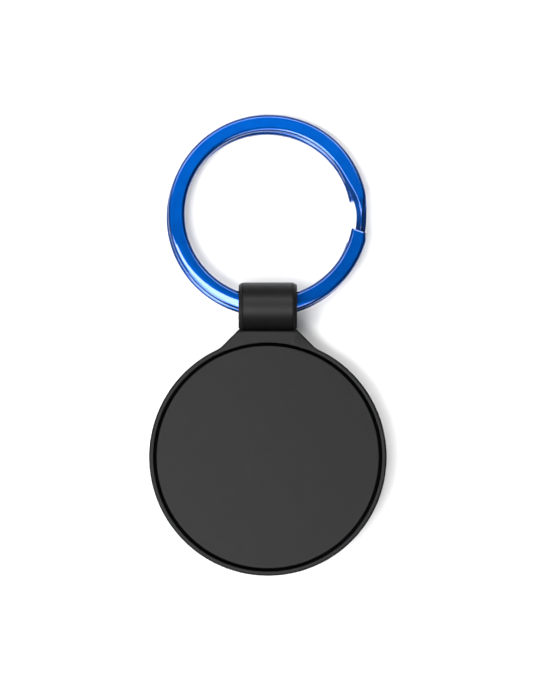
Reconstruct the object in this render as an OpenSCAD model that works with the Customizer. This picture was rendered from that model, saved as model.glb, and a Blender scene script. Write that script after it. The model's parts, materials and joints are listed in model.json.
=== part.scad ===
// Round key-finder tag with a hanger barrel and a flat split ring.
// The tag lies on its back: the origin is the centre of the round body on the plane of its back,
// +Z comes out of the front face, +Y points to the split ring and +X to the right.

/* [Body] */
// Diameter of the round body
body_d = 35; // [35:0.1:36.6]
// Thickness of the body, from its back to its front face
body_t = 6.4; // [6.4:0.1:7.4]
// Height of the joint between the rear shell and the front frame
parting_z = 2.4; // [2.2:0.1:2.6]
// Width of the bezel round the front plate
bezel_w = 0.65; // [0.6:0.05:0.7]
// Open gap between the bezel and the front plate
plate_gap = 0.45; // [0.35:0.05:0.5]
// How far the front plate goes in when it is pressed
press_travel = 0.2; // [0.1:0.05:0.2]

/* [Hanger] */
// Outer diameter of the hanger barrel
barrel_d = 7.1; // [7.1:0.1:7.6]
// Length of the hanger barrel
barrel_l = 8.6; // [8.4:0.1:8.8]
// Distance from the centre of the body to the axis of the barrel
barrel_y = 22.2; // [22.1:0.1:22.8]
// Height of the barrel's axis above the back
barrel_z = 4.7; // [4.5:0.1:4.8]
// Inner diameter of the bush
bush_bore = 5.1; // [5.1:0.02:5.16]

/* [Split ring] */
// Outer diameter of the split ring
ring_d = 30; // [29:0.5:31]
// Width of the flat coil, measured along the ring's radius
coil_w = 2.65; // [2.4:0.05:2.7]
// Thickness of one coil
coil_t = 1.13; // [0.9:0.01:1.14]
// How far the ring hangs down from the level of the barrel, in degrees
ring_droop = 7.1; // [6.8:0.1:7.1]

/* [Coin cell and door] */
// Diameter of the coin cell
cell_d = 20; // [20:0.1:20.1]
// Thickness of the coin cell
cell_t = 3.2; // [3.1:0.05:3.2]
// Thickness of the battery door
door_t = 0.8; // [0.8:0.05:0.85]
// Turn that frees the battery door, in degrees
door_turn = 35; // [35:1:36]

/* [Hidden] */
$fn = 96;
eps = 0.01;                         // overlap that fuses two shapes
gap = 0.05;                         // clearance between two parts that face each other

body_r = body_d / 2;
opening_r = body_r - bezel_w;
plate_r = opening_r - plate_gap;
plate_t = 0.85;
plate_z = body_t - plate_t;
edge_r = 0.35;                      // fillet on the bezel's outer edge
lip_chamfer = 0.08;                 // chamfer on the bezel's inner edge
back_edge_r = 1.1;                  // fillet on the back's outer edge

// heights of the stack inside, from the back to the front
cell_z = door_t + 0.1;
board_z = cell_z + cell_t + 0.3;
board_t = 0.5;
board_top = board_z + board_t;
board_r = 15.8;
ledge_top = board_top + 0.1;        // the ledge carries the foam ring and holds the plate's hooks
ledge_in = 16;
wall_t = 0.8;
wall_in = body_r - wall_t;

// the plate's three hooks
hook_angles = [90, 210, 330];
hook_w = 2.4;
hook_r = 15.25;
hook_t = 0.6;
barb = 0.5;
dome_h = press_travel + 0.15;       // the dome keeps some height when it is pressed in
dome_r = 2;

// posts and screws that hold the board
screw_angles = [30, 150, 270];
screw_r = 13.6;
post_r = 1.1;
thread_r = 0.5;
thread_z = 2.5;                     // height of the screws' tips

// the sounder, over its membrane and the holes in the back
sounder_angle = 180;
sounder_r = 12.9;
hole_r = 0.3;
holes_at = 14.7;

// battery door: a coin-turned cap with three lugs that run over sloping ledges
flange_r = 12.4;
skirt_in = cell_d / 2 + 0.1;
skirt_out = skirt_in + 0.5;
skirt_top = 1.9;
lug_out = skirt_out + 0.5;
lug_span = 16;
lug_z = 1.25;
lug_h = 0.5;
door_pitch = 0.006;                 // drop of the door in mm for each degree of turn
ledge_r = skirt_out + 0.1;
surround_in = lug_out + 0.1;
surround_out = surround_in + 0.6;
recess_z = door_t + gap;
recess_r = flange_r + 0.1;
ledge_steps = 6;
seal_r = 11.8;
seal_tube = 0.24;

// bush in the barrel, held along it by a rib that snaps into a groove
bush_r = bush_bore / 2;
bush_out = 2.85;
bush_inset = 0.15;                  // from the barrel's ends to the bush's ends
barrel_bore = bush_out + gap;
rib_r = 3;
rib_w = 1;

// split ring: front coil, a short cross-over and back coil
ring_out = ring_d / 2;
ring_in = ring_out - coil_w;
ring_reach = 13.65;                 // from the barrel's axis to the ring's centre
split_half = 10;                    // half the angle of the cross-over
coil_turn = 360 - 2 * split_half;
coil_gap = 0.04;
coil_step = 4;
coil_bevel = 0.18;
coil_taper = 0.85;                  // how much the inner edge gives way at the cross-over

function arc(cx, cy, r, from, to, n = 6) =
    [for (i = [0 : n]) let (a = from + (to - from) * i / n) [cx + r * cos(a), cy + r * sin(a)]];

function ease(u) = let (v = min(max(u, 0), 1)) v * v * (3 - 2 * v);

module at(angle, radius) {
    rotate([0, 0, angle]) translate([radius, 0, 0]) children();
}

module tube(r_in, r_out, z0, z1) {
    rotate_extrude() translate([r_in, z0]) square([r_out - r_in, z1 - z0]);
}

module sector(r_in, r_out, z0, z1, from, span) {
    rotate([0, 0, from])
        rotate_extrude(angle = span) translate([r_in, z0]) square([r_out - r_in, z1 - z0]);
}

// a block on the underside of the board: lx along the radius, ly across it
module under_board(angle, radius, size) {
    at(angle, radius)
        translate([-size[0] / 2, -size[1] / 2, board_z - size[2]]) cube(size);
}

module along_barrel() {
    translate([0, barrel_y, barrel_z]) rotate([0, 90, 0]) children();
}

/* ---- housing ---- */

// the right half of the neck from above: a 45 degree flare up to the barrel's end
module neck_half_plan() {
    foot_x = 7.05;
    foot_y = sqrt(body_r * body_r - foot_x * foot_x);
    root_y = foot_y - 1.5;
    end_x = barrel_l / 2 - gap;
    shoulder_y = foot_y + foot_x - end_x;
    polygon([[0, root_y], [foot_x, root_y], [foot_x, foot_y], [end_x, shoulder_y],
             [end_x, barrel_y], [0, barrel_y]]);
}

module neck_plan() {
    neck_half_plan();
    mirror([1, 0, 0]) neck_half_plan();
}

module barrel_shape() {
    h = barrel_l / 2;
    f = 0.5;
    r = barrel_d / 2 - f;
    along_barrel()
        rotate_extrude()
            polygon(concat([[0, -h]], arc(r, -h + f, f, -90, 0), arc(r, h - f, f, 0, 90), [[0, h]]));
}

// the frame with its neck and barrel; a relief groove runs where the neck meets the barrel
module front_frame() {
    sink = 0.2;
    groove_y = barrel_y - barrel_d / 2 - gap;
    groove_z = barrel_z + 0.5;
    color("#3b3b3d") difference() {
        union() {
            rotate_extrude()
                polygon(concat([[wall_in, parting_z], [body_r, parting_z]],
                    arc(body_r - edge_r, body_t - edge_r, edge_r, 0, 90),
                    [[opening_r + lip_chamfer, body_t], [opening_r, body_t - lip_chamfer],
                     [opening_r, ledge_top], [ledge_in, ledge_top], [ledge_in, board_z],
                     [wall_in, board_z]]));
            difference() {
                translate([0, 0, parting_z]) linear_extrude(body_t - parting_z) neck_plan();
                cylinder(r = body_r - sink, h = 2 * body_t);
                translate([-body_r, groove_y, groove_z]) cube([body_d, barrel_d, body_t]);
            }
            barrel_shape();
        }
        along_barrel() {
            cylinder(r = barrel_bore, h = 2 * barrel_l, center = true);
            cylinder(r = rib_r + gap, h = rib_w + 2 * gap, center = true);
        }
    }
}

module rear_shell() {
    lip_out = wall_in - gap;
    lip_in = lip_out - 0.6;
    lip_top = parting_z + 0.8;
    rim_r = recess_r + 0.7;
    rim_z = recess_z + 0.4;
    color("#333335") difference() {
        union() {
            rotate_extrude()
                polygon(concat([[recess_r, 0]],
                    arc(body_r - back_edge_r, back_edge_r, back_edge_r, -90, 0),
                    [[body_r, parting_z], [lip_out, parting_z], [lip_out, lip_top],
                     [lip_in, lip_top], [lip_in, recess_z], [rim_r, recess_z],
                     [rim_r, rim_z], [surround_out, rim_z], [surround_out, skirt_top],
                     [surround_in, skirt_top], [surround_in, recess_z], [recess_r, recess_z]]));
            for (i = [0 : 2])
                bayonet_ledge(120 * i);
            for (a = screw_angles)
                at(a, screw_r) translate([0, 0, recess_z - eps])
                    cylinder(r = post_r, h = board_z - recess_z + eps);
        }
        for (a = screw_angles)
            at(a, screw_r) translate([0, 0, thread_z - 0.3]) cylinder(r = thread_r, h = board_z);
        sound_holes();
    }
}

// one sloping ledge, cut down in steps, with a stop at its high end
module bayonet_ledge(start) {
    stop = start + lug_span + 1;
    low = stop - door_turn;
    step = (start + lug_span - low) / ledge_steps;
    high_z = lug_z - gap;
    under_z = recess_z + 0.06;
    root_r = surround_in + 0.3;
    difference() {
        sector(ledge_r, root_r, under_z, high_z, low, door_turn + 2);
        for (k = [0 : ledge_steps - 2])
            sector(ledge_r - 1, root_r + 1, high_z - door_pitch * step * (ledge_steps - 1 - k),
                   high_z + 1, low - 5, 5 + (k + 1) * step);
    }
    sector(ledge_r, root_r, under_z + 0.1, skirt_top - 0.1, stop, 4);
}

module sound_holes() {
    pitch_r = 0.8;
    at(sounder_angle, holes_at) {
        cylinder(r = hole_r, h = 3, center = true);
        for (i = [0 : 4])
            at(72 * i, pitch_r) cylinder(r = hole_r, h = 3, center = true);
    }
}

module sound_membrane() {
    color("#202022") at(sounder_angle, holes_at)
        translate([0, 0, recess_z]) cylinder(r = 1.3, h = 0.12);
}

module foam_ring() {
    color("#222224") tube(ledge_in + gap, opening_r - gap, ledge_top, plate_z);
}

/* ---- front plate, which is the button ---- */

module front_plate() {
    f = 0.12;
    hook_z = board_z - 0.5;
    barb_h = 0.45;
    boss_r = 1.2;
    color("#3d3d3f") union() {
        rotate_extrude()
            polygon(concat([[0, plate_z], [plate_r, plate_z]],
                arc(plate_r - f, body_t - f, f, 0, 90), [[0, body_t]]));
        translate([0, 0, board_top + dome_h])
            cylinder(r = boss_r, h = plate_z - board_top - dome_h + eps);
        for (a = hook_angles)
            at(a, hook_r) {
                translate([0, -hook_w / 2, hook_z])
                    cube([hook_t, hook_w, plate_z - hook_z + eps]);
                translate([hook_t - eps, -hook_w / 2, hook_z]) cube([barb + eps, hook_w, barb_h]);
            }
    }
}

/* ---- board and what is on it ---- */

module circuit_board() {
    notch = 0.4;
    color("#1d5a38") difference() {
        translate([0, 0, board_z]) cylinder(r = board_r, h = board_t);
        for (a = hook_angles)
            at(a, hook_r - notch / 2)
                translate([0, -hook_w / 2 - notch, 0]) cube([3, hook_w + 2 * notch, 2 * board_z]);
        for (a = screw_angles)
            at(a, screw_r) cylinder(r = thread_r + 0.08, h = 2 * board_z);
    }
}

module board_screws() {
    head_r = 1;
    head_h = 0.35;
    cross_l = 1.2;
    cross_w = 0.2;
    color("#b9bcc0")
        for (a = screw_angles)
            at(a, screw_r) difference() {
                union() {
                    translate([0, 0, thread_z]) cylinder(r = thread_r, h = board_top - thread_z + eps);
                    translate([0, 0, board_top]) cylinder(r = head_r, h = head_h);
                }
                for (turn = [0, 90])
                    rotate([0, 0, turn])
                        translate([-cross_l / 2, -cross_w / 2, board_top + 0.12])
                            cube([cross_l, cross_w, head_h]);
            }
}

module metal_dome() {
    rim = 0.12;
    color("#c9ccd0") translate([0, 0, board_top])
        rotate_extrude()
            polygon([[0, dome_h - rim], [1.1, dome_h - rim - 0.02], [1.7, 0.08], [1.8, 0],
                     [dome_r, 0], [dome_r, 0.1], [1.2, dome_h - 0.02], [0, dome_h]]);
}

module radio_chip() {
    side = 5;
    tall = 0.85;
    chip_r = 12.9;
    dot = 0.5;
    color("#1b1b1d") difference() {
        under_board(0, chip_r, [side, side, tall]);
        translate([chip_r - side / 2 + dot, dot - side / 2, board_z - tall - eps])
            cylinder(r = dot / 2, h = 0.06);
    }
}

module crystal() {
    color("#d2d4d8") {
        under_board(-17, 12.6, [1.6, 2, 0.2]);
        under_board(-17, 12.6, [1.4, 1.8, 0.5]);
    }
}

module chip_antenna() {
    color("#e6e3da") under_board(60, 13.3, [1.6, 3.2, 0.8]);
}

module sounder() {
    side = 5;
    tall = 2;
    color("#242426") difference() {
        under_board(sounder_angle, sounder_r, [side, side, tall]);
        at(sounder_angle, sounder_r + 1.1)
            translate([0, 0, board_z - tall - eps]) cylinder(r = 0.5, h = 0.6);
    }
}

module sounder_driver() {
    color("#1f1f21") {
        under_board(225, 13.4, [1.3, 2.9, 1]);
        for (s = [-1, 1])
            under_board(225 + 4 * s, 12.5, [0.6, 0.4, 0.2]);
        under_board(225, 14.3, [0.6, 0.4, 0.2]);
    }
}

module bulk_capacitors() {
    color("#c9a25a")
        for (a = [243, 297])
            under_board(a, 13, [1.6, 3.2, 1.6]);
}

module chip_passives() {
    color("#8b6f4e")
        for (a = [14, 17, 20, 44, 47, 75, 78, 162, 165, 195, 198])
            under_board(a, 13, [1, 0.5, 0.35]);
}

module negative_contact() {
    reach = 5;
    arm_w = 1.2;
    color("#d8c27a") union() {
        translate([0, 0, board_z - 0.15]) cylinder(r = 2.2, h = 0.15);
        for (a = hook_angles) {
            rotate([0, 0, a])
                translate([0, -arm_w / 2, board_z - 0.2]) cube([reach, arm_w, 0.1]);
            at(a, reach) translate([0, 0, board_z - 0.3]) cylinder(r = arm_w / 2, h = 0.2);
        }
    }
}

module positive_contacts() {
    w = 3;
    foot_z = skirt_top + 0.3;
    color("#d8c27a")
        for (a = [120, 312])
            at(a, cell_d / 2) union() {
                translate([0, -w / 2, foot_z]) cube([0.2, w, board_z - foot_z]);
                translate([0, -w / 2, board_z - 0.15]) cube([1.6, w, 0.15]);
            }
}

/* ---- coin cell ---- */

module cell_can() {
    r = cell_d / 2;
    color("#c4c7cb") translate([0, 0, cell_z]) rotate_extrude()
        polygon([[0, 0], [r - 0.2, 0], [r, 0.2], [r, cell_t - 0.25], [r - 0.1, cell_t - 0.15],
                 [r - 0.6, cell_t - 0.15], [r - 0.6, cell_t - 0.25], [r - 0.25, cell_t - 0.25],
                 [r - 0.25, 0.25], [0, 0.25]]);
}

module cell_gasket() {
    r = cell_d / 2;
    color("#2b2f38") translate([0, 0, cell_z]) tube(r - 0.9, r - 0.25, 0.25, cell_t - 0.25);
}

module cell_cap() {
    r = cell_d / 2;
    color("#d0d3d6") translate([0, 0, cell_z]) rotate_extrude()
        polygon([[0, 0.25], [r - 0.9, 0.25], [r - 0.9, cell_t - 0.3], [r - 1.3, cell_t - 0.1],
                 [r - 1.5, cell_t], [0, cell_t]]);
}

/* ---- battery door ---- */

module battery_door() {
    slot_l = 12;
    slot_w = 1.6;
    slot_depth = 0.45;
    seat_z = 0.35;
    seat_w = 0.3;
    edge = 0.15;
    color("#38383a") difference() {
        union() {
            rotate_extrude()
                polygon([[0, 0], [flange_r - edge, 0], [flange_r, edge], [flange_r, door_t],
                         [seal_r + seat_w, door_t], [seal_r + seat_w, seat_z],
                         [seal_r - seat_w, seat_z], [seal_r - seat_w, door_t],
                         [skirt_out, door_t], [skirt_out, skirt_top],
                         [skirt_in, skirt_top], [skirt_in, door_t], [0, door_t]]);
            for (i = [0 : 2])
                sector(skirt_out - gap, lug_out, lug_z, lug_z + lug_h, 120 * i, lug_span);
        }
        translate([-slot_l / 2, -slot_w / 2, -eps]) cube([slot_l, slot_w, slot_depth + eps]);
    }
}

module door_seal() {
    color("#141416") rotate_extrude() translate([seal_r, seal_tube + 0.36]) circle(r = seal_tube);
}

/* ---- bush and split ring ---- */

module ring_bush() {
    h = barrel_l / 2 - bush_inset;
    mouth = 0.15;
    half = [[bush_out, rib_w / 2], [bush_out, h], [bush_r + mouth, h], [bush_r, h - mouth]];
    mirrored = [for (i = [len(half) - 1 : -1 : 0]) [half[i][0], -half[i][1]]];
    rib = [[rib_r, -rib_w / 2], [rib_r, rib_w / 2]];
    color("#2c2c2e") along_barrel() rotate_extrude() polygon(concat(half, mirrored, rib));
}

// Height of a coil's middle, in coil pitches from the ring's middle plane: +1/2 front, -1/2 back
function coil_side(t) = 0.5 - ease((t - coil_turn) / (360 - coil_turn));

// The inner edge gives way before the cross-over and comes back after it
function coil_inner(t) = ring_in + coil_taper
    * (ease((t - coil_turn + 20) / 20) - ease((t - 360) / 10));

function coil_section(t) =
    let (a = -split_half - t, z = coil_side(t) * (coil_t + coil_gap), h = coil_t / 2,
         b = coil_bevel, n = coil_inner(t), w = ring_out)
    [for (p = [[n + b, -h], [w - b, -h], [w, b - h], [w, h - b],
               [w - b, h], [n + b, h], [n, h - b], [n, b - h]])
        [p[0] * cos(a), p[0] * sin(a), z + p[1]]];

module split_ring() {
    steps = (360 + coil_turn) / coil_step;
    sides = 8;
    points = [for (i = [0 : steps]) for (p = coil_section(i * coil_step)) p];
    skin = [for (i = [0 : steps - 1]) for (k = [0 : sides - 1])
        [i * sides + k, i * sides + (k + 1) % sides,
         (i + 1) * sides + (k + 1) % sides, (i + 1) * sides + k]];
    first = [[for (k = [sides - 1 : -1 : 0]) k]];
    last = [[for (k = [0 : sides - 1]) steps * sides + k]];
    color("#1f4fd0")
        translate([0, barrel_y, barrel_z]) rotate([-ring_droop, 0, 0]) translate([0, ring_reach, 0])
            polyhedron(points = points, faces = concat(first, skin, last), convexity = 6);
}

front_frame();
front_plate();
foam_ring();
rear_shell();
ring_bush();
split_ring();
circuit_board();
board_screws();
metal_dome();
radio_chip();
crystal();
chip_antenna();
sounder();
sounder_driver();
bulk_capacitors();
chip_passives();
negative_contact();
positive_contacts();
sound_membrane();
cell_can();
cell_gasket();
cell_cap();
battery_door();
door_seal();
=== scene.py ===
"""A round key-finder tag on its back on a white table, seen from straight above.

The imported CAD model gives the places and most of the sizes. This script builds finer versions of
four pieces, gives each CAD node its material, and sets the camera, the lights and the table.
"""
import json
import math
import bpy
import bmesh
from mathutils import Matrix, Vector


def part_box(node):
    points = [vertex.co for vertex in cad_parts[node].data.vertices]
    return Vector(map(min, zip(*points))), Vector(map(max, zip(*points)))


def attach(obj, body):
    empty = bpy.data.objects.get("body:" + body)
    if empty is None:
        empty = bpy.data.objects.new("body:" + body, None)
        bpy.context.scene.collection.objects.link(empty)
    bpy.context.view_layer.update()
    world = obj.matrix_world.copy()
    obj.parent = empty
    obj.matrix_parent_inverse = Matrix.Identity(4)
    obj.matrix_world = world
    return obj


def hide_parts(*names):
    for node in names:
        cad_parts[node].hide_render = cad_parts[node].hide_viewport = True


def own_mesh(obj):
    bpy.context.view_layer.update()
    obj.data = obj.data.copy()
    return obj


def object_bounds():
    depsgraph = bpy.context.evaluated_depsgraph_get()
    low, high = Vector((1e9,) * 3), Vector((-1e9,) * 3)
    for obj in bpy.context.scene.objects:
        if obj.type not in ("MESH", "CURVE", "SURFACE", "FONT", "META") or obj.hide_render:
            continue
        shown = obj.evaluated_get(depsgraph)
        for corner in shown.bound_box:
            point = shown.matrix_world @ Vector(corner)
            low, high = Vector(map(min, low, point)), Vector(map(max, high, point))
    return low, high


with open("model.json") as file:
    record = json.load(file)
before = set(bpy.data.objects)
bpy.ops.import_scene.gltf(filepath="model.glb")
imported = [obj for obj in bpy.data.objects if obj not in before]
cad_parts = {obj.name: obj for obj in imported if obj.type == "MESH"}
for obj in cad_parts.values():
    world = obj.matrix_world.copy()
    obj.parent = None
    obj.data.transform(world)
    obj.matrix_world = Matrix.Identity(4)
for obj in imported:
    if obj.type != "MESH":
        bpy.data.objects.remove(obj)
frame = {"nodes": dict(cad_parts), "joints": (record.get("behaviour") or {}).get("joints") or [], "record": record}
cad_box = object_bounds()

MM = 0.001
joints = {j["name"]: j for j in frame["joints"]}
barrel_axis = Vector(joints["ring_swing"]["pos_m"])
ring_centre = Vector(joints["ring_slide"]["pos_m"])
ring_normal = Vector(joints["ring_slide"]["axis"]).normalized()

# sizes of the body and the barrel, from the boxes of the CAD nodes where they give them
body_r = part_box("rear_shell")[1].x
front_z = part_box("front_plate")[1].z
barrel_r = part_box("front_frame")[1].z - barrel_axis.z
bush_inset = 0.15 * MM                  # from the barrel's ends to the bush's ends
barrel_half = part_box("ring_bush")[1].x + bush_inset
bore_r = 2.9 * MM
parting_z = 2.4 * MM                    # joint between the rear shell and the front frame
bezel_w = 0.65 * MM
opening_r = body_r - bezel_w
ledge_r = 16.0 * MM                     # inner edge of the ledge that carries the foam ring
ledge_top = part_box("foam_ring")[0].z
ledge_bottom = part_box("circuit_board")[0].z
wall_t = 0.8 * MM
wall_r = body_r - wall_t
gap = 0.05 * MM                         # between parts that face each other


# ---------------------------------------------------------------- meshes

def new_object(name, mesh):
    piece = bpy.data.objects.new(name, mesh)
    bpy.context.scene.collection.objects.link(piece)
    return piece


def mesh_from(name, points, faces):
    mesh = bpy.data.meshes.new(name)
    mesh.from_pydata([tuple(p) for p in points], [], faces)
    mesh.update()
    return mesh


def shade(mesh, angle=35):
    """Smooth shading that keeps the edges sharper than angle."""
    mesh.polygons.foreach_set("use_smooth", [True] * len(mesh.polygons))
    mesh.set_sharp_from_angle(angle=math.radians(angle))


def weighted_normals(piece):
    """Keeps the large faces flat, so that only the narrow ones between them look round."""
    modifier = piece.modifiers.new("normals", "WEIGHTED_NORMAL")
    modifier.keep_sharp = True
    modifier.weight = 80


def arc(cx, cy, r, start, end, steps):
    """Points on an arc, with its angles in degrees."""
    out = []
    for i in range(steps + 1):
        a = math.radians(start + (end - start) * i / steps)
        out.append((cx + r * math.cos(a), cy + r * math.sin(a)))
    return out


def circle(r, h, steps):
    """Points round Z at radius r and height h."""
    turns = [2 * math.pi * i / steps for i in range(steps)]
    return [Vector((r * math.cos(a), r * math.sin(a), h)) for a in turns]


def band(work, low, high):
    """Faces between two circles of vertices."""
    for i in range(len(low)):
        n = (i + 1) % len(low)
        work.faces.new((low[i], low[n], high[n], high[i]))


def closed_mesh(work, name):
    """Turns the faces outwards and makes a mesh of them."""
    bmesh.ops.recalc_face_normals(work, faces=work.faces)
    mesh = bpy.data.meshes.new(name)
    work.to_mesh(mesh)
    work.free()
    return mesh


def loops_to_mesh(name, loops, wrap):
    """A closed skin over loops of points that all have the same count.

    wrap joins the last loop to the first. Without it, each end gets a face of its own.
    """
    work = bmesh.new()
    rings = [[work.verts.new(p) for p in loop] for loop in loops]
    for low, high in zip(rings, rings[1:] + rings[:1] if wrap else rings[1:]):
        band(work, low, high)
    if not wrap:
        work.faces.new(rings[0][::-1])
        work.faces.new(rings[-1])
    return closed_mesh(work, name)


def solid_of_revolution(profile, steps, place):
    """A profile of (radius, height) that starts and ends on the axis, turned into a closed solid."""
    work = bmesh.new()
    rings = [[work.verts.new(place @ p) for p in circle(r, h, steps)] for r, h in profile[1:-1]]
    for low, high in zip(rings, rings[1:]):
        band(work, low, high)
    work.faces.new(rings[0][::-1])
    work.faces.new(rings[-1])
    return closed_mesh(work, "solid")


def disc_of_revolution(name, upper, lower, steps):
    """A thin round plate: upper runs from its rim to its middle and lower runs back out."""
    work = bmesh.new()
    top_rings, bottom_rings = ([[work.verts.new(p) for p in circle(r, z, steps)] for r, z in line]
                               for line in (upper[:-1], lower[1:]))
    top = work.verts.new((0, 0, upper[-1][1]))
    bottom = work.verts.new((0, 0, lower[0][1]))
    rings = bottom_rings + top_rings
    for low, high in zip(rings, rings[1:]):
        band(work, low, high)
    for i in range(steps):
        n = (i + 1) % steps
        work.faces.new((bottom, rings[0][n], rings[0][i]))
        work.faces.new((top, rings[-1][i], rings[-1][n]))
    return closed_mesh(work, name)


def bar_along_x(name, section, half):
    """A cutter: an outline of (y, z) drawn out along X from -half to half."""
    loops = [[Vector((x, y, z)) for y, z in section] for x in (-half, half)]
    return loops_to_mesh(name, loops, wrap=False)


def boolean(piece, tool, operation):
    """Cuts tool out of the piece, or adds it, and removes it."""
    modifier = piece.modifiers.new("cut", "BOOLEAN")
    modifier.object = tool
    modifier.operation = operation
    modifier.solver = "EXACT"
    bpy.context.view_layer.update()
    done = bpy.data.meshes.new_from_object(piece.evaluated_get(bpy.context.evaluated_depsgraph_get()))
    piece.modifiers.clear()
    piece.data = done
    bpy.data.objects.remove(tool)


def ease(u):
    """0 before u = 0 and 1 after u = 1, with a smooth rise between them."""
    u = min(max(u, 0.0), 1.0)
    return u * u * (3 - 2 * u)


# ---------------------------------------------------------------- front frame

def rounded(corners):
    """An open line through corners of (x, y, radius), with each inner corner turned into an arc."""
    line = [Vector(corners[0][:2])]
    for before, here, after in zip(corners, corners[1:], corners[2:]):
        p, radius = Vector(here[:2]), here[2]
        a = (Vector(before[:2]) - p).normalized()
        b = (Vector(after[:2]) - p).normalized()
        half = a.angle(b) / 2
        reach = radius / math.tan(half)
        middle = p + (a + b).normalized() * radius / math.sin(half)
        start, end = p + a * reach, p + b * reach
        for i in range(9):
            spoke = start.lerp(end, i / 8) - middle
            line.append(middle + spoke.normalized() * radius)
    line.append(Vector(corners[-1][:2]))
    return line


def frame_outline():
    """The frame's outline from above, anticlockwise: the round body with the neck at its top."""
    foot_x = 7.05 * MM                  # where the neck's 45-degree side meets the round body
    foot_y = math.sqrt(body_r ** 2 - foot_x ** 2)
    end_x = barrel_half - gap
    shoulder_y = foot_y + foot_x - end_x
    foot_round, shoulder_round = 3.2 * MM, 0.25 * MM
    before = math.atan2(foot_y, foot_x) - math.radians(6)
    side = rounded([
        (body_r * math.cos(before), body_r * math.sin(before), 0),
        (foot_x, foot_y, foot_round),
        (end_x, shoulder_y, shoulder_round),
        (end_x, barrel_axis.y, 0),
    ])
    start = math.degrees(math.atan2(side[0].y, side[0].x))
    body = arc(0, 0, body_r, 180 - start, 360 + start, 240)
    left = [Vector((-p.x, p.y)) for p in reversed(side)]
    reach = 0.9 * barrel_half
    across = [Vector((reach * (1 - i / 6), barrel_axis.y)) for i in range(1, 12)]
    return [Vector(p) for p in body[:-1]] + side + across + left[:-1]


def outward(points):
    """The outward normal at each point of a closed anticlockwise outline."""
    out = []
    for i, p in enumerate(points):
        step = points[(i + 1) % len(points)] - points[i - 1]
        out.append(Vector((step.y, -step.x)).normalized())
    return out


def frame_body():
    """The body and the neck: a skin over loops that follow the outline outside and circles inside."""
    outline = frame_outline()
    normals = outward(outline)
    foot = 0.1 * MM
    edge = 0.05 * MM
    rim_wide, rim_deep = 0.2 * MM, 0.13 * MM
    lip = 0.09 * MM
    rounds = 6

    def at_outline(inset, z):
        return [(p.x - n.x * inset, p.y - n.y * inset, z) for p, n in zip(outline, normals)]

    def at_circle(r, z):
        return [(*(p.normalized() * r), z) for p in outline]

    quarter = arc(0, 0, 1, 0, 90, rounds)
    loops = [at_circle(wall_r, parting_z), at_outline(foot, parting_z), at_outline(0, parting_z + foot)]
    loops += [at_outline(edge * (1 - c), front_z - rim_deep - edge * (1 - s)) for c, s in quarter]
    loops.append(at_outline(edge + rim_wide, front_z))
    loops += [at_circle(opening_r + lip * (1 - s), front_z - lip * (1 - c)) for c, s in quarter]
    loops += [at_circle(opening_r, ledge_top), at_circle(ledge_r, ledge_top),
              at_circle(ledge_r, ledge_bottom), at_circle(wall_r, ledge_bottom)]
    return loops_to_mesh("front_frame_shell", loops, wrap=True)


def groove_section():
    """What is cut from the neck by the barrel: (y, z) points, with the neck's brow rounded over."""
    floor = 0.5 * MM                    # above the barrel's axis
    y, z = barrel_axis.y - barrel_r - gap, barrel_axis.z + floor
    far_y, top_z = y + 2 * barrel_r, 2 * front_z
    brow = 0.3 * MM
    clear = 0.005 * MM                  # keeps the arc's end off the front face
    rounded_brow = arc(y - brow, front_z - brow + clear, brow, 0, 90, 8)
    return [(y, z)] + rounded_brow + [(y - brow, top_z), (far_y, top_z), (far_y, z)]


def barrel_profile():
    """The barrel's outside as (radius, place along it), with a fine seam and a slope at each end."""
    end_round = 0.1 * MM
    slope_wide, slope_deep = 0.42 * MM, 0.29 * MM
    start = barrel_half - end_round - slope_wide
    seam_deep = 0.1 * MM
    seam = [(0, 0.16 * MM), (seam_deep, 0.09 * MM), (seam_deep, 0.05 * MM), (0, 0)]
    half = [(barrel_r - deep, start - before) for deep, before in seam]
    half += arc(barrel_r - slope_deep - end_round, barrel_half - end_round, end_round, 0, 90, 6)
    other = [(r, -x) for r, x in reversed(half)]
    return [(0, -barrel_half)] + other + half + [(0, barrel_half)]


def front_frame_piece():
    """The front frame: body and neck, with the barrel joined on and its bore cut out."""
    piece = new_object("front_frame_shell", frame_body())
    groove = bar_along_x("groove", groove_section(), body_r)
    boolean(piece, new_object("groove", groove), "DIFFERENCE")

    along_x = Matrix.Translation(barrel_axis) @ Matrix.Rotation(math.radians(90), 4, "Y")
    barrel = solid_of_revolution(barrel_profile(), 160, along_x)
    boolean(piece, new_object("barrel", barrel), "UNION")
    past = 2 * barrel_half
    bore = solid_of_revolution([(0, -past), (bore_r, -past), (bore_r, past), (0, past)], 120, along_x)
    boolean(piece, new_object("bore", bore), "DIFFERENCE")
    shade(piece.data, 32)
    weighted_normals(piece)
    return piece


# ---------------------------------------------------------------- split ring

RING_OUT = 14.95 * MM
RING_IN = 12.45 * MM
COIL_T = 1.12 * MM
COIL_PITCH = 1.17 * MM
SPLIT_HALF = 10.0                       # half the cross-over, in degrees
COIL_TURN = 360 - 2 * SPLIT_HALF
DRIFT = 0.13 * MM                       # how far each coil sits off the ring's middle
ROLL_SLOPE = 14                         # slope of the front's rolled-off stretch, in degrees
END_SKEW = 1.6                          # turn of the front end's outer corner, in degrees
INNER_STRAIGHT = 0.5                    # straight part of the inner edge's bevel
OUTER_STRAIGHT = 0.3


def bevel(straight):
    """Steps of (across, down), each from 0 to 1, along the edge from the flat to the side.

    straight is how much of it is a straight slope. The rest is a quarter circle.
    """
    steps = 6
    line = []
    for i in range(steps + 1):
        u, v = math.radians(90 * i / steps), i / steps
        line.append((math.sin(u) * (1 - straight) + v * straight,
                     (1 - math.cos(u)) * (1 - straight) + v * straight))
    return line


def stretch(t, start, rise, end, fall):
    """1 along a stretch of the coil and 0 elsewhere, with soft ends of rise and fall degrees."""
    return ease((t - start) / rise) - ease((t - end) / fall)


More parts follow.
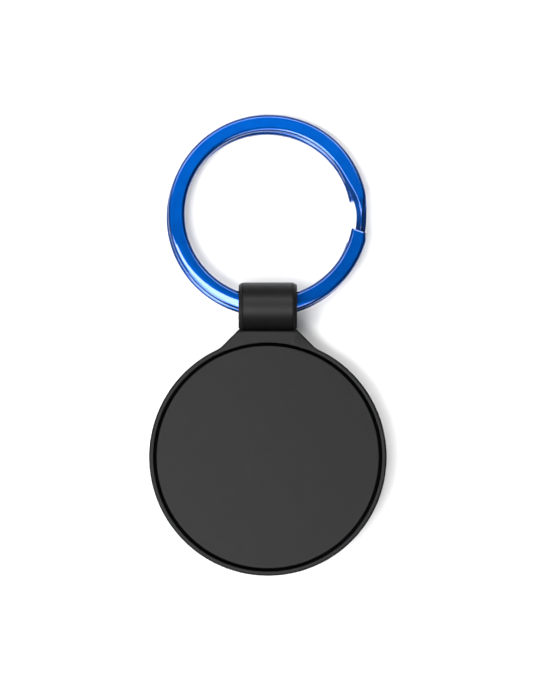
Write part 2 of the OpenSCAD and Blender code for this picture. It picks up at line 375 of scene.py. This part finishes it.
def streak(t):
    """The rolled-off stretch of the front coil, at the lower left: its width and its drop.

    It starts 52 degrees along the coil, is widest at about 90 and ends at 158.
    """
    width = (0.45 + 0.5 * ease((t - 72) / 20) - 0.68 * ease((t - 90) / 66)) * MM
    return width, stretch(t, 52, 10, 148, 10) * width * math.tan(math.radians(ROLL_SLOPE))


def coil_section(t):
    """One section of the strip, t degrees along the coil, which runs clockwise from the front end.

    The strip changes level over the cross-over. Just before it the inner edge gives way, so that the
    end of the back coil shows, and the section turns into a roof: two slopes that meet in a ridge.
    """
    down = ease((t - COIL_TURN) / (360 - COIL_TURN))
    back = ease((t - COIL_TURN + 60) / 80)
    give = stretch(t, 322, 30, 361, 8)
    slope = stretch(t, 312, 36, 362, 10)
    roof = stretch(t, 336, 14, 362, 10)
    far_side = stretch(t, 190, 50, 290, 40)
    ends = 1 - ease(t / 6) + ease((t - 360 - COIL_TURN) / 7 + 1)

    half = COIL_T / 2
    inner = RING_IN + 0.84 * MM * give
    outer = RING_OUT - 0.2 * MM * roof - 0.25 * MM * ends
    inner_wide = (0.42 + 0.3 * slope + 0.12 * far_side) * MM
    inner_deep = (0.34 + 0.1 * slope) * MM
    outer_wide = (0.42 + 0.32 * roof) * MM
    outer_deep = (0.34 + 0.28 * roof) * MM
    inner_bevel = bevel(INNER_STRAIGHT * (1 - far_side) + (1 - INNER_STRAIGHT) * slope)
    outer_bevel = bevel(OUTER_STRAIGHT + (1 - OUTER_STRAIGHT) * roof)
    roll_wide, roll_drop = streak(t)
    ridge = inner + inner_wide
    brow = outer - outer_wide
    start = max(ridge, brow - roll_wide)

    # the outline runs from the inner side over the front and round the back
    under, foot = 0.2 * MM, 0.06 * MM
    line = [(inner, -half + under)]
    line += [(ridge - inner_wide * x, half - inner_deep * z) for x, z in reversed(inner_bevel)]
    line.append((ridge + min(foot, (start - ridge) / 2), half))
    steps = 4
    lead = 0.2                          # of a step, where the roll begins
    for i in range(steps + 1):
        along = (i + lead) / (steps + lead)
        line.append((start + (brow - start) * along, half - roll_drop * i / steps))
    line += [(brow + outer_wide * x, half - roll_drop - outer_deep * z) for x, z in outer_bevel[1:]]
    line += [(outer, -half + under), (outer - foot, -half + foot), (outer - under, -half)]
    line += [(inner + under, -half), (inner + foot, -half + foot)]

    a = math.radians(-SPLIT_HALF - t)
    skew = math.radians(END_SKEW) * (1 - ease(t / 8)) / (RING_OUT - RING_IN)
    level = (0.5 - down) * COIL_PITCH
    shift = DRIFT * (1 - 2 * back)
    points = []
    for r, z in line:
        turned = a - skew * (r - RING_IN)
        points.append(Vector((r * math.cos(turned) + shift, r * math.sin(turned) + shift, level + z)))
    return points


def split_ring_piece():
    """The ring: one skin over sections all along both coils, with its two ends chamfered."""
    steps = 560
    total = 360 + COIL_TURN
    tilt = Vector((0, 0, 1)).rotation_difference(ring_normal).to_matrix().to_4x4()
    place = Matrix.Translation(ring_centre) @ tilt
    loops = [[place @ p for p in coil_section(total * i / steps)] for i in range(steps + 1)]
    mesh = loops_to_mesh("split_ring_coils", loops, wrap=False)
    work = bmesh.new()
    work.from_mesh(mesh)
    ends = [face for face in work.faces if len(face.verts) > 4]
    rim = list({edge for face in ends for edge in face.edges})
    bmesh.ops.bevel(work, geom=rim, offset=0.08 * MM, segments=2, affect="EDGES", profile=0.5)
    work.to_mesh(mesh)
    work.free()
    shade(mesh, 40)
    piece = new_object("split_ring_coils", mesh)
    weighted_normals(piece)
    return piece


# ---------------------------------------------------------------- soft and thin pieces

def foam_piece():
    """The foam ring under the front plate: a low ring with crowned sides."""
    low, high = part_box("foam_ring")
    outer, inner = high.x, ledge_r + gap
    tall = high.z - low.z
    crown = 0.05 * MM
    side = [(i / 8, crown * math.sin(math.pi * i / 8)) for i in range(9)]
    profile = [(outer - crown + bulge, low.z + tall * u) for u, bulge in side]
    profile += [(inner + crown - bulge, high.z - tall * u) for u, bulge in side]
    loops = [circle(r, z, 180) for r, z in profile]
    piece = new_object("foam_ring_pad", loops_to_mesh("foam_ring_pad", loops, wrap=True))
    shade(piece.data, 40)
    return piece


def dome_piece():
    """The tactile dome under the plate: thin sprung steel, domed in the middle, flat round its rim."""
    low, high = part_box("metal_dome")
    radius, sheet, rim = high.x, 0.08 * MM, 0.2 * MM
    foot_z = low.z + sheet
    sag = 0.12                          # how much flatter the middle is than a plain rise
    steps = 14
    upper = [(radius, foot_z), (radius - rim, foot_z)]
    for i in range(1, steps):
        u = i / steps
        rise = ease(u) * (1 - sag * u) / (1 - sag)
        upper.append(((radius - rim) * (1 - u), foot_z + (high.z - foot_z) * rise))
    upper.append((0, high.z))
    lower = [(r, z - sheet) for r, z in reversed(upper)]
    piece = new_object("metal_dome_spring", disc_of_revolution("metal_dome_spring", upper, lower, 72))
    shade(piece.data, 40)
    return piece


def finish_cad(cad):
    """Rejoins a CAD node's split vertices and shades it flat on flat faces and round on round ones."""
    weld = cad.modifiers.new("weld", "WELD")
    weld.merge_threshold = 1e-6
    split = cad.modifiers.new("edges", "EDGE_SPLIT")
    split.split_angle = math.radians(28)
    split.use_edge_sharp = False
    normals = cad.modifiers.new("normals", "WEIGHTED_NORMAL")
    normals.keep_sharp = True


# ---------------------------------------------------------------- materials

class Nodes:
    """A small helper that builds a material's node tree."""

    def __init__(self, name):
        self.material = bpy.data.materials.new(name)
        self.material.use_nodes = True
        self.tree = self.material.node_tree
        self.shader = self.tree.nodes["Principled BSDF"]
        self.place = self.add("ShaderNodeTexCoord").outputs["Object"]

    def add(self, kind, **settings):
        node = self.tree.nodes.new(kind)
        for key, value in settings.items():
            setattr(node, key, value)
        return node

    def link(self, source, target):
        self.tree.links.new(source, target)

    def set(self, **values):
        for key, value in values.items():
            name = key.replace("_", " ")
            self.shader.inputs[name].default_value = value

    def noise(self, scale, detail=2.0, roughness=0.5, place=None):
        node = self.add("ShaderNodeTexNoise")
        node.inputs["Scale"].default_value = scale
        node.inputs["Detail"].default_value = detail
        node.inputs["Roughness"].default_value = roughness
        self.link(place or self.place, node.inputs["Vector"])
        return node.outputs["Fac"]

    def stretched(self, scale):
        node = self.add("ShaderNodeMapping")
        node.inputs["Scale"].default_value = scale
        self.link(self.place, node.inputs["Vector"])
        return node.outputs["Vector"]

    def ramp(self, factor, stops):
        """A colour ramp from (position, colour) stops."""
        node = self.add("ShaderNodeValToRGB")
        elements = node.color_ramp.elements
        while len(elements) < len(stops):
            elements.new(1.0)
        for element, (position, colour) in zip(elements, stops):
            element.position = position
            element.color = (*colour, 1.0)
        self.link(factor, node.inputs["Fac"])
        return node.outputs["Color"]

    def between(self, factor, low, high):
        """The factor's 0 to 1 spread over low to high."""
        node = self.add("ShaderNodeMapRange")
        node.inputs["To Min"].default_value = low
        node.inputs["To Max"].default_value = high
        self.link(factor, node.inputs["Value"])
        return node.outputs["Result"]

    def colour(self, factor, low, high):
        self.link(self.ramp(factor, [(0.25, low), (0.75, high)]), self.shader.inputs["Base Color"])

    def roughness(self, factor, low, high):
        self.link(self.between(factor, low, high), self.shader.inputs["Roughness"])

    def bump(self, factor, strength, distance):
        node = self.add("ShaderNodeBump")
        node.inputs["Strength"].default_value = strength
        node.inputs["Distance"].default_value = distance
        self.link(factor, node.inputs["Height"])
        self.link(node.outputs["Normal"], self.shader.inputs["Normal"])


def shaded(value, amount):
    """A colour made darker or lighter."""
    return tuple(min(1.0, c * amount) for c in value)


def moulded(name, colour, rough, strength=0.12):
    """Moulded plastic: a fine spark-eroded texture and a slight change of tone."""
    nodes = Nodes(name)
    nodes.set(Specular_IOR_Level=0.207)
    nodes.colour(nodes.noise(260, 3), shaded(colour, 0.93), shaded(colour, 1.07))
    nodes.roughness(nodes.noise(700, 4), rough - 0.04, rough + 0.04)
    nodes.bump(nodes.noise(9000, 3, 0.6), strength, 0.02 * MM)
    return nodes.material


def metal(name, colour, rough):
    """Plain metal with a slight unevenness in tone and gloss."""
    nodes = Nodes(name)
    nodes.set(Metallic=1.0)
    nodes.colour(nodes.noise(500, 3), shaded(colour, 0.94), shaded(colour, 1.06))
    nodes.roughness(nodes.noise(1200, 4), rough - 0.04, rough + 0.04)
    nodes.bump(nodes.noise(5000, 2), 0.05, 0.01 * MM)
    return nodes.material


def rubber(name, colour, rough):
    """Dull rubber with a coarse grain."""
    nodes = Nodes(name)
    nodes.set(Specular_IOR_Level=0.35)
    nodes.colour(nodes.noise(900, 3), shaded(colour, 0.9), shaded(colour, 1.1))
    nodes.roughness(nodes.noise(1500, 3), rough - 0.05, rough + 0.05)
    nodes.bump(nodes.noise(7000, 4, 0.7), 0.3, 0.02 * MM)
    return nodes.material


def foam_and_gap_shade(name):
    """Very dark foam with open cells, so near-black that it also paints the shade in the narrow gap round the
    front plate, where it shows.
    """
    nodes = Nodes(name)
    nodes.set(Specular_IOR_Level=0.02)
    cells = nodes.add("ShaderNodeTexVoronoi")
    cells.inputs["Scale"].default_value = 6000
    nodes.link(nodes.place, cells.inputs["Vector"])
    depth = cells.outputs["Distance"]
    # near-black tones: the foam's own black, deepened to paint the shade in the gap round the plate
    nodes.colour(depth, (0.0006, 0.0006, 0.0006), (0.003, 0.003, 0.0031))
    nodes.roughness(nodes.noise(2000, 3), 0.9, 1.0)
    nodes.bump(depth, 0.8, 0.05 * MM)
    return nodes.material


def circuit_laminate(name):
    """Green solder mask over copper tracks."""
    nodes = Nodes(name)
    nodes.set(Specular_IOR_Level=0.5, Coat_Weight=0.4, Coat_Roughness=0.2)
    tracks = nodes.add("ShaderNodeTexBrick", offset=0.5, squash=1.0)
    tracks.inputs["Scale"].default_value = 260
    tracks.inputs["Mortar Size"].default_value = 0.012
    tracks.inputs["Color1"].default_value = (0.008, 0.06, 0.022, 1)
    tracks.inputs["Color2"].default_value = (0.01, 0.07, 0.026, 1)
    tracks.inputs["Mortar"].default_value = (0.02, 0.12, 0.045, 1)
    nodes.link(nodes.place, tracks.inputs["Vector"])
    nodes.link(tracks.outputs["Color"], nodes.shader.inputs["Base Color"])
    nodes.roughness(nodes.noise(1500, 3), 0.3, 0.42)
    nodes.bump(tracks.outputs["Fac"], 0.2, 0.02 * MM)
    return nodes.material


def blue_anodised(name):
    """Steel with a blue finish under a thin clear layer, a little uneven in tone and gloss."""
    nodes = Nodes(name)
    nodes.set(Metallic=0.92, Specular_IOR_Level=0.0, Coat_Weight=1.0, Coat_Roughness=0.05, Coat_IOR=1.52)
    tone = nodes.noise(420, 4, 0.6)
    nodes.link(nodes.ramp(tone, [(0.2, (0.0, 0.045, 0.24)), (0.8, (0.0, 0.06, 0.3))]),
               nodes.shader.inputs["Base Color"])
    nodes.roughness(nodes.noise(900, 5, 0.6), 0.28, 0.36)
    return nodes.material


def brushed_steel(name, colour):
    """Steel with fine lines from rolling and brushing."""
    nodes = Nodes(name)
    nodes.set(Metallic=1.0)
    lines = nodes.noise(1400, 4, 0.6, nodes.stretched((1, 24, 1)))
    nodes.colour(lines, shaded(colour, 0.85), shaded(colour, 1.1))
    nodes.roughness(lines, 0.24, 0.4)
    nodes.bump(lines, 0.08, 0.01 * MM)
    return nodes.material


def fine_mesh(name):
    """The acoustic membrane: a very fine woven cloth."""
    nodes = Nodes(name)
    nodes.set(Specular_IOR_Level=0.1, Sheen_Weight=0.2)
    weave = nodes.add("ShaderNodeTexWave", wave_type="BANDS", bands_direction="X")
    weave.inputs["Scale"].default_value = 3000
    cross = nodes.add("ShaderNodeTexWave", wave_type="BANDS", bands_direction="Y")
    cross.inputs["Scale"].default_value = 3000
    both = nodes.add("ShaderNodeMath", operation="MULTIPLY")
    for k, wave in enumerate((weave, cross)):
        nodes.link(nodes.place, wave.inputs["Vector"])
        nodes.link(wave.outputs["Fac"], both.inputs[k])
    nodes.colour(both.outputs["Value"], (0.006, 0.006, 0.007), (0.03, 0.03, 0.032))
    nodes.roughness(both.outputs["Value"], 0.85, 0.95)
    nodes.bump(both.outputs["Value"], 0.5, 0.02 * MM)
    return nodes.material


def table_top(name):
    """Matt white board, which glows a little so that its shadows stay soft."""
    nodes = Nodes(name)
    nodes.set(Specular_IOR_Level=0.0, Emission_Color=(1, 1, 1, 1), Emission_Strength=0.06)
    nodes.colour(nodes.noise(40, 3), (0.90, 0.90, 0.90), (0.92, 0.92, 0.92))
    nodes.roughness(nodes.noise(80, 3), 0.9, 1.0)
    return nodes.material


def wall_paint(name):
    """Pale paint that shows bright whatever light falls on it."""
    nodes = Nodes(name)
    nodes.set(Specular_IOR_Level=0.0, Emission_Color=(1, 1, 1, 1), Emission_Strength=0.95)
    nodes.colour(nodes.noise(2, 3), (0.80, 0.80, 0.80), (0.82, 0.82, 0.82))
    return nodes.material


BLACK = (0.0036, 0.0036, 0.0037)
SLOT_MATERIALS = {
    "frame_plastic": lambda n: moulded(n, BLACK, 0.46),
    "plate_plastic": lambda n: moulded(n, shaded(BLACK, 1.05), 0.5),
    "shell_plastic": lambda n: moulded(n, BLACK, 0.5),
    "foam": foam_and_gap_shade,
    "bush_metal": lambda n: metal(n, (0.05, 0.05, 0.055), 0.34),
    "blue_metal": blue_anodised,
    "board": circuit_laminate,
    "steel": lambda n: brushed_steel(n, (0.56, 0.57, 0.58)),
    "chip_resin": lambda n: moulded(n, (0.012, 0.012, 0.013), 0.55, strength=0.25),
    "ceramic": lambda n: moulded(n, (0.55, 0.5, 0.42), 0.5, strength=0.05),
    "capacitor": lambda n: moulded(n, (0.42, 0.2, 0.04), 0.4, strength=0.05),
    "contact_metal": lambda n: metal(n, (0.75, 0.68, 0.5), 0.3),
    "membrane": fine_mesh,
    "cell_steel": lambda n: brushed_steel(n, (0.66, 0.66, 0.65)),
    "cell_gasket": lambda n: rubber(n, (0.02, 0.02, 0.022), 0.6),
    "seal_rubber": lambda n: rubber(n, (0.018, 0.018, 0.018), 0.7),
}


# ---------------------------------------------------------------- the object

slots = [m["slot"] for m in frame["record"]["materials"]]
finishes = {name: SLOT_MATERIALS[name](name) for name in slots}

shell = front_frame_piece()
coils = split_ring_piece()
pad = foam_piece()
dome = dome_piece()
own = [
    (shell, "housing", "frame_plastic", "front_frame"),
    (coils, "ring", "blue_metal", "split_ring"),
    (pad, "housing", "foam", "foam_ring"),
    (dome, "housing", "steel", "metal_dome"),
]
for piece, body, slot, node in own:
    piece.data.materials.clear()
    piece.data.materials.append(finishes[slot])
    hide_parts(node)
    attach(piece, body)

for piece, node in ((pad, "foam_ring"), (dome, "metal_dome")):
    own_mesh(piece)

replaced = {node for *_, node in own}
for node, cad in frame["nodes"].items():
    if node not in replaced:
        finish_cad(cad)

slot_of = {part["node"]: part["material_slot"] for part in frame["record"]["subparts"]}
for node, cad in frame["nodes"].items():
    for entry in cad.material_slots:
        entry.material = finishes[slot_of[node]]


# ---------------------------------------------------------------- table, camera and lights

def studio():
    """The table and a pale wall round it. The wall is only seen, and lights nothing."""
    radius, tall, steps = 0.9, 3.0, 96  # metres, metres and sides
    rim = circle(radius, 0, steps)
    table = new_object("table_top", mesh_from("table_top", rim, [tuple(range(steps))]))
    table.data.materials.append(table_top("table_top"))
    table.location.z = cad_box[0].z - 0.02 * MM
    sides = [(i, (i + 1) % steps, (i + 1) % steps + steps, i + steps) for i in range(steps)]
    wall = new_object("wall", mesh_from("wall", rim + circle(radius, tall, steps), sides))
    wall.data.materials.append(wall_paint("wall"))
    wall.visible_diffuse = wall.visible_glossy = wall.visible_shadow = False


def softbox(name, turn, lean, depth, left, right, radiance, spin=0):
    """A rectangular softbox that faces the tag from 0.8 m away.

    It leans by lean degrees from straight above towards +Y, and the whole is then turned about Z.
    Seen from the tag it is depth degrees deep and reaches from left to right degrees along X,
    before it is spun about its own middle.
    """
    away = 0.8
    low, high = (away * math.tan(math.radians(x)) for x in (left, right))
    lamp = bpy.data.lights.new(name, "AREA")
    lamp.shape = "RECTANGLE"
    lamp.size = high - low
    lamp.size_y = 2 * away * math.tan(math.radians(depth / 2))
    lamp.energy = radiance * math.pi * lamp.size * lamp.size_y
    light = bpy.data.objects.new(name, lamp)
    aim = Matrix.Rotation(math.radians(turn), 3, "Z") @ Matrix.Rotation(-math.radians(lean), 3, "X")
    aim = aim @ Matrix.Rotation(math.radians(spin), 3, "Z")
    middle = Vector((0, 16 * MM, 0))
    light.location = middle + aim @ Vector(((low + high) / 2, 0, away))
    light.rotation_euler = aim.to_euler()
    bpy.context.scene.collection.objects.link(light)


def world_light(overhead, left, right):
    """A dim room: a little light from above, more from the wall at the left than from the right."""
    world = bpy.data.worlds.new("studio")
    world.use_nodes = True
    tree = world.node_tree
    direction = tree.nodes.new("ShaderNodeTexCoord").outputs["Generated"]
    axes = tree.nodes.new("ShaderNodeSeparateXYZ")
    across = tree.nodes.new("ShaderNodeMapRange")
    fade = tree.nodes.new("ShaderNodeMapRange")
    settings = ((across, -0.6, 0.4, left, right), (fade, 0.2, 0.75, 0, overhead))
    for node, start, end, low, high in settings:
        node.interpolation_type = "SMOOTHSTEP"
        for name, value in (("From Min", start), ("From Max", end), ("To Min", low), ("To Max", high)):
            node.inputs[name].default_value = value
    background = tree.nodes["Background"]
    background.inputs["Color"].default_value = (1, 1, 1, 1)
    tree.links.new(direction, axes.inputs["Vector"])
    tree.links.new(axes.outputs["X"], across.inputs["Value"])
    tree.links.new(across.outputs["Result"], fade.inputs["To Min"])
    tree.links.new(axes.outputs["Z"], fade.inputs["Value"])
    tree.links.new(fade.outputs["Result"], background.inputs["Strength"])
    bpy.context.scene.world = world


def camera():
    """A long lens straight above the tag, framed as in the photo."""
    data = bpy.data.cameras.new("camera")
    data.lens = 135
    data.sensor_width = 36
    eye = bpy.data.objects.new("camera", data)
    middle = Vector((0.32 * MM, 15.76 * MM, 2.8 * MM))
    view_height = 104.0 * MM
    eye.location = middle + Vector((0, 0, view_height * data.lens / data.sensor_width))
    data.clip_start = 0.01
    bpy.context.scene.collection.objects.link(eye)
    bpy.context.scene.camera = eye


studio()
camera()
world_light(0.02, 0.35, 0.07)
# far and near light the flats, left lights the edges, and strip makes the ring's white streak
softbox("softbox_far", 0, 33, 15, -30, 20, 9.6)
softbox("softbox_near", 0, -24, 20, -30, 20, 5.9)
softbox("softbox_left", 127, 42, 22, -12, 12, 8.5)
softbox("softbox_strip", 99.3, 19.1, 11, -17, 17, 15.0, spin=41.6)
bpy.context.scene.view_settings.view_transform = "Standard"
